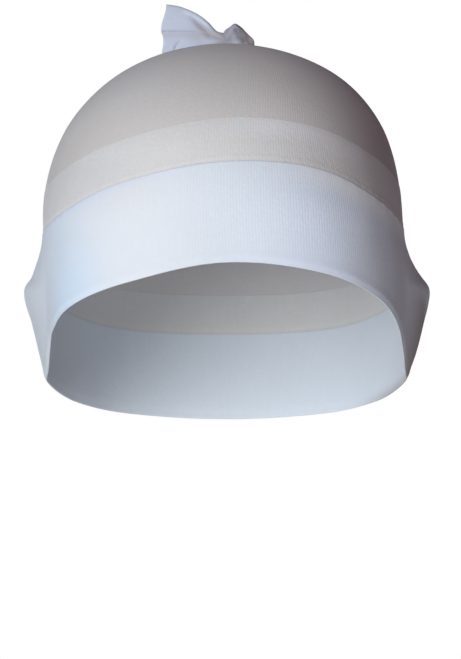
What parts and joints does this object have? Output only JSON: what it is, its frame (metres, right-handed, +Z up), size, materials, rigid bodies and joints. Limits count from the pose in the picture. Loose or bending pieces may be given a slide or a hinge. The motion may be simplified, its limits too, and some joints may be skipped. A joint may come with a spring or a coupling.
{
  "type": "wig cap",
  "caption": "Stretch wig cap: sheer knitted dome with a denser hem, a wide doubled cuff over brow, ears and nape, and a knotted top with a flared tail.",
  "frame": {"origin": "the inside of the crown at its highest point, where the top of the wearer's head touches it", "axes": "+Z is up out of the head, the wearer faces -Y, and +X is to the wearer's left"},
  "size_m": [0.1709, 0.1925, 0.1823],
  "materials": {
    "sheer_knit": "sheer ribbed nylon knit, matte",
    "hem_knit": "denser ribbed knit, matte",
    "cuff_knit": "doubled white knit, soft matte",
    "knot_knit": "bunched white knit, matte",
    "tail_knit": "folded white knit, matte"
  },
  "bodies": {
    "root": {"crown": "sheer_knit", "hem_band": "hem_knit", "cuff_band": "cuff_knit", "knot": "knot_knit", "tail": "tail_knit"}
  },
  "joints": []
}
